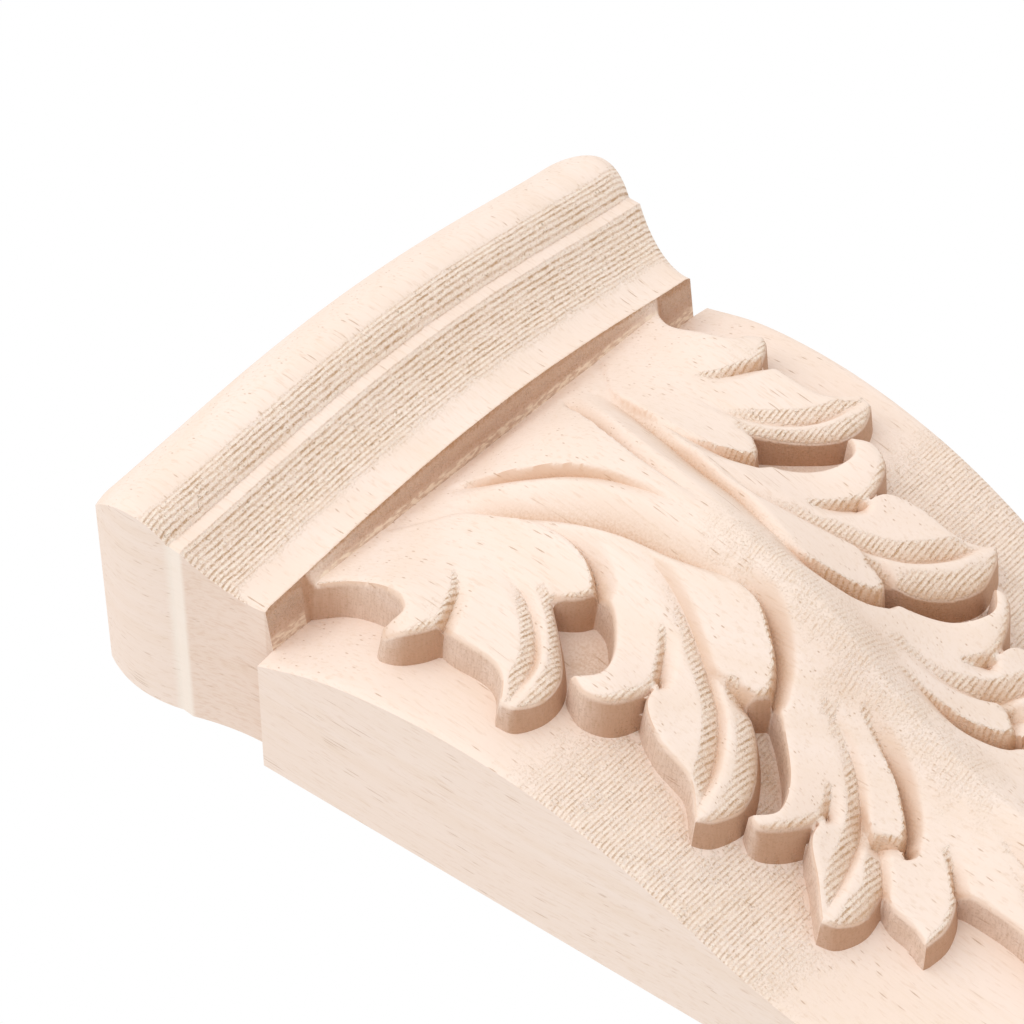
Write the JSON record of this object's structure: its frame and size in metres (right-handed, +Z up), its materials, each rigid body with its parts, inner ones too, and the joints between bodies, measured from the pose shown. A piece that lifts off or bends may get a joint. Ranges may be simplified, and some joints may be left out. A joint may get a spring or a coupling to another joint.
{
  "type": "carved wooden corbel",
  "caption": "Small carved wooden corbel: a bowed, moulded cap over a tapering, bellied body that carries an acanthus leaf in relief, with a flat back for fixing.",
  "frame": {"origin": "middle of the flat back, half-way between the top of the cap and the foot", "axes": "+Z up to the top of the cap, +Y into the wall or furniture face behind the back, +X across, the carved front faces -Y"},
  "size_m": [0.0722, 0.0305, 0.14],
  "materials": {
    "rubberwood": "raw, machine-carved, unsanded"
  },
  "bodies": {
    "root": {"corbel": "rubberwood"}
  },
  "joints": []
}
